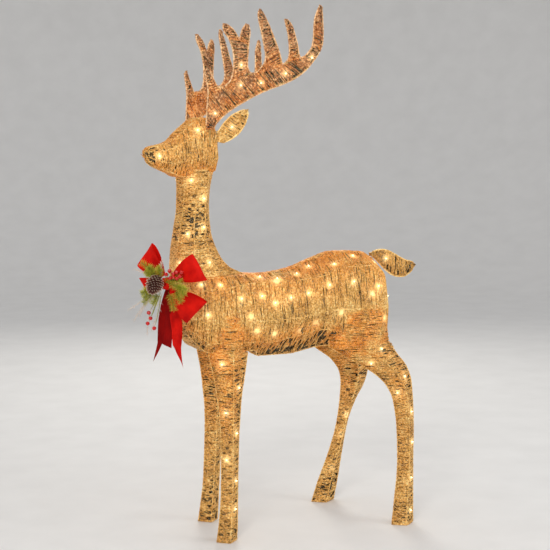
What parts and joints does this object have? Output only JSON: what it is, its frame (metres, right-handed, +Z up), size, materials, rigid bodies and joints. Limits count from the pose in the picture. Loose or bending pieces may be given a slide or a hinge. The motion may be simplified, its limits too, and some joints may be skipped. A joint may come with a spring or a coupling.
{
  "type": "light-up yard reindeer",
  "caption": "Standing lit reindeer yard figure: thread-wrapped wire-frame sections with plug-in legs, neck and antlers, hinged tail and ears, small warm bulbs and a red ribbon bow.",
  "frame": {"origin": "middle of the whole piece's bounding box, on the ground under the feet", "axes": "+Z up; the deer faces -X with its tail toward +X; its own left side is toward -Y"},
  "size_m": [0.9517, 0.505, 1.6061],
  "materials": {
    "gold_thread": "glittering metallic thread, wound",
    "antler_thread": "reddish brown glittering thread, wound",
    "frame_wire": "champagne paint on steel wire, satin",
    "warm_bulb": "clear, lit warm white",
    "socket_and_cable": "satin",
    "red_ribbon": "satin ribbon, wired edges",
    "pinecone": "dry scales with pale tips",
    "red_berry": "gloss",
    "green_sprig": "needles, glittered"
  },
  "bodies": {
    "torso": {"torso_wrap": "gold_thread", "torso_frame": "frame_wire", "torso_bulbs": "warm_bulb", "torso_light_string": "socket_and_cable", "leg_socket_tubes": "frame_wire", "neck_socket_tubes": "frame_wire", "tail_hinge_wire": "frame_wire", "bow_loops": "red_ribbon", "bow_tails": "red_ribbon", "bow_knot": "red_ribbon", "bow_tie_wire": "frame_wire", "pinecone": "pinecone", "berries": "red_berry", "sprigs": "green_sprig"},
    "neck_head": {"neck_head_wrap": "gold_thread", "neck_head_frame": "frame_wire", "neck_head_bulbs": "warm_bulb", "neck_head_light_string": "socket_and_cable", "neck_pins": "frame_wire", "antler_socket_tubes": "frame_wire", "ear_hinge_wires": "frame_wire"},
    "antler_left": {"antler_left_wrap": "antler_thread", "antler_left_frame": "frame_wire", "antler_left_bulbs": "warm_bulb", "antler_left_light_string": "socket_and_cable", "antler_left_pin": "frame_wire"},
    "antler_right": {"antler_right_wrap": "antler_thread", "antler_right_frame": "frame_wire", "antler_right_bulbs": "warm_bulb", "antler_right_light_string": "socket_and_cable", "antler_right_pin": "frame_wire"},
    "ear_left": {"ear_left_wrap": "gold_thread", "ear_left_frame": "frame_wire", "ear_left_bulb": "warm_bulb"},
    "ear_right": {"ear_right_wrap": "gold_thread", "ear_right_frame": "frame_wire", "ear_right_bulb": "warm_bulb"},
    "tail": {"tail_wrap": "gold_thread", "tail_frame": "frame_wire", "tail_bulb": "warm_bulb"},
    "leg_front_left": {"leg_front_left_wrap": "gold_thread", "leg_front_left_frame": "frame_wire", "leg_front_left_bulbs": "warm_bulb", "leg_front_left_light_string": "socket_and_cable"},
    "leg_front_right": {"leg_front_right_wrap": "gold_thread", "leg_front_right_frame": "frame_wire", "leg_front_right_bulbs": "warm_bulb", "leg_front_right_light_string": "socket_and_cable"},
    "leg_rear_left": {"leg_rear_left_wrap": "gold_thread", "leg_rear_left_frame": "frame_wire", "leg_rear_left_bulbs": "warm_bulb", "leg_rear_left_light_string": "socket_and_cable"},
    "leg_rear_right": {"leg_rear_right_wrap": "gold_thread", "leg_rear_right_frame": "frame_wire", "leg_rear_right_bulbs": "warm_bulb", "leg_rear_right_light_string": "socket_and_cable"}
  },
  "joints": [
    {"name": "neck_plug", "type": "slide", "parent": "torso", "child": "neck_head", "axis": [0, 0, 1], "range_m": [0, 0.05]},
    {"name": "antler_left_plug", "type": "slide", "parent": "neck_head", "child": "antler_left", "axis": [0.0049, -0.1391, 0.9903], "range_m": [0, 0.05]},
    {"name": "antler_right_plug", "type": "slide", "parent": "neck_head", "child": "antler_right", "axis": [0.112, 0.2218, 0.9686], "range_m": [0, 0.05]},
    {"name": "ear_left_turn", "type": "hinge", "parent": "neck_head", "child": "ear_left", "pos_m": [-0.22514, -0.09464, 1.207], "axis": [0, 0, 1], "range_deg": [-10, 10]},
    {"name": "ear_right_turn", "type": "hinge", "parent": "neck_head", "child": "ear_right", "pos_m": [-0.25045, 0.00688, 1.183], "axis": [0, 0, 1], "range_deg": [-10, 10]},
    {"name": "tail_lift", "type": "hinge", "parent": "torso", "child": "tail", "pos_m": [0.3166, -0.0555, 0.843], "axis": [0, -1, 0], "range_deg": [0, 30]},
    {"name": "leg_front_left_plug", "type": "slide", "parent": "torso", "child": "leg_front_left", "axis": [0, 0, -1], "range_m": [0, 0.05]},
    {"name": "leg_front_right_plug", "type": "slide", "parent": "torso", "child": "leg_front_right", "axis": [0, 0, -1], "range_m": [0, 0.05]},
    {"name": "leg_rear_left_plug", "type": "slide", "parent": "torso", "child": "leg_rear_left", "axis": [0, 0, -1], "range_m": [0, 0.05]},
    {"name": "leg_rear_right_plug", "type": "slide", "parent": "torso", "child": "leg_rear_right", "axis": [0, 0, -1], "range_m": [0, 0.05]}
  ]
}
